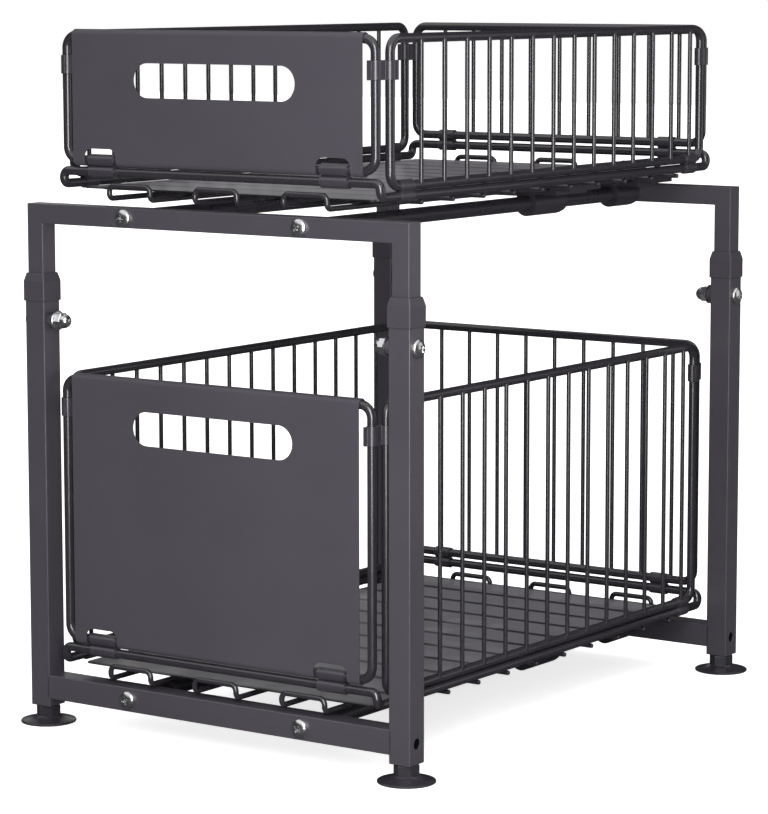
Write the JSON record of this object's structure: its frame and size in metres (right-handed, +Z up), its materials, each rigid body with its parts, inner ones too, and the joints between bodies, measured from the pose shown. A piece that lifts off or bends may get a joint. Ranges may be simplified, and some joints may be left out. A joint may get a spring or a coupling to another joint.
{
  "type": "under sink organizer",
  "caption": "Two-tier square-tube stand with a shallow and a deep wire basket that pull out on rods, handle slots in the front plates, telescoping legs and levelling feet.",
  "frame": {"origin": "middle of the footprint, on the floor", "axes": "+X to the right seen from the front, -Y towards the front where the baskets pull out, +Z up"},
  "size_m": [0.3282, 0.434, 0.4607],
  "materials": {
    "coated_steel": "satin powder coat",
    "front_plates": "satin powder coat",
    "clip_steel": "satin powder coat",
    "rods": "satin powder coat",
    "foot_steel": "satin",
    "bright_screws": "bright zinc",
    "black_plastic": "fine grain",
    "slider_plastic": "smooth",
    "liner": "translucent"
  },
  "bodies": {
    "stand": {"lower_front_frame": "coated_steel", "lower_rear_frame": "coated_steel", "leg_collars": "black_plastic", "leg_plugs": "black_plastic", "height_bolts": "bright_screws", "height_spacers": "black_plastic", "height_nuts": "bright_screws", "lower_rail_left": "rods", "lower_rail_right": "rods", "lower_rail_bolts": "bright_screws"},
    "upper_stand": {"upper_front_frame": "coated_steel", "upper_rear_frame": "coated_steel", "upper_rail_left": "rods", "upper_rail_right": "rods", "upper_rail_bolts": "bright_screws"},
    "lower_basket": {"lower_base_ring": "coated_steel", "lower_cross_wires": "coated_steel", "lower_floor_hairpins": "coated_steel", "lower_liner": "liner", "lower_front_loop": "coated_steel", "lower_front_plate": "front_plates", "lower_back_wall": "coated_steel", "lower_left_wall": "coated_steel", "lower_right_wall": "coated_steel", "lower_base_clips": "clip_steel", "lower_corner_clips": "clip_steel", "lower_front_sliders": "slider_plastic", "lower_rear_sliders": "slider_plastic"},
    "upper_basket": {"upper_base_ring": "coated_steel", "upper_cross_wires": "coated_steel", "upper_floor_hairpins": "coated_steel", "upper_liner": "liner", "upper_front_loop": "coated_steel", "upper_front_plate": "front_plates", "upper_back_wall": "coated_steel", "upper_left_wall": "coated_steel", "upper_right_wall": "coated_steel", "upper_base_clips": "clip_steel", "upper_corner_clips": "clip_steel", "upper_front_sliders": "slider_plastic", "upper_rear_sliders": "slider_plastic"},
    "foot_front_left": {"foot_front_left": "foot_steel"},
    "foot_front_right": {"foot_front_right": "foot_steel"},
    "foot_rear_left": {"foot_rear_left": "foot_steel"},
    "foot_rear_right": {"foot_rear_right": "foot_steel"}
  },
  "joints": [
    {"name": "height_adjust", "type": "slide", "parent": "stand", "child": "upper_stand", "axis": [0, 0, 1], "range_m": [-0.026, 0.05]},
    {"name": "upper_pull_out", "type": "slide", "parent": "upper_stand", "child": "upper_basket", "axis": [0, -1, 0], "range_m": [0, 0.2455]},
    {"name": "lower_pull_out", "type": "slide", "parent": "stand", "child": "lower_basket", "axis": [0, -1, 0], "range_m": [0, 0.2395]},
    {"name": "foot_front_left_turn", "type": "hinge", "parent": "stand", "child": "foot_front_left", "pos_m": [-0.1456, -0.1985, 0], "axis": [0, 0, 1], "continuous": true},
    {"name": "foot_front_right_turn", "type": "hinge", "parent": "stand", "child": "foot_front_right", "pos_m": [0.1456, -0.1985, 0], "axis": [0, 0, 1], "continuous": true},
    {"name": "foot_rear_left_turn", "type": "hinge", "parent": "stand", "child": "foot_rear_left", "pos_m": [-0.1456, 0.1985, 0], "axis": [0, 0, 1], "continuous": true},
    {"name": "foot_rear_right_turn", "type": "hinge", "parent": "stand", "child": "foot_rear_right", "pos_m": [0.1456, 0.1985, 0], "axis": [0, 0, 1], "continuous": true}
  ]
}
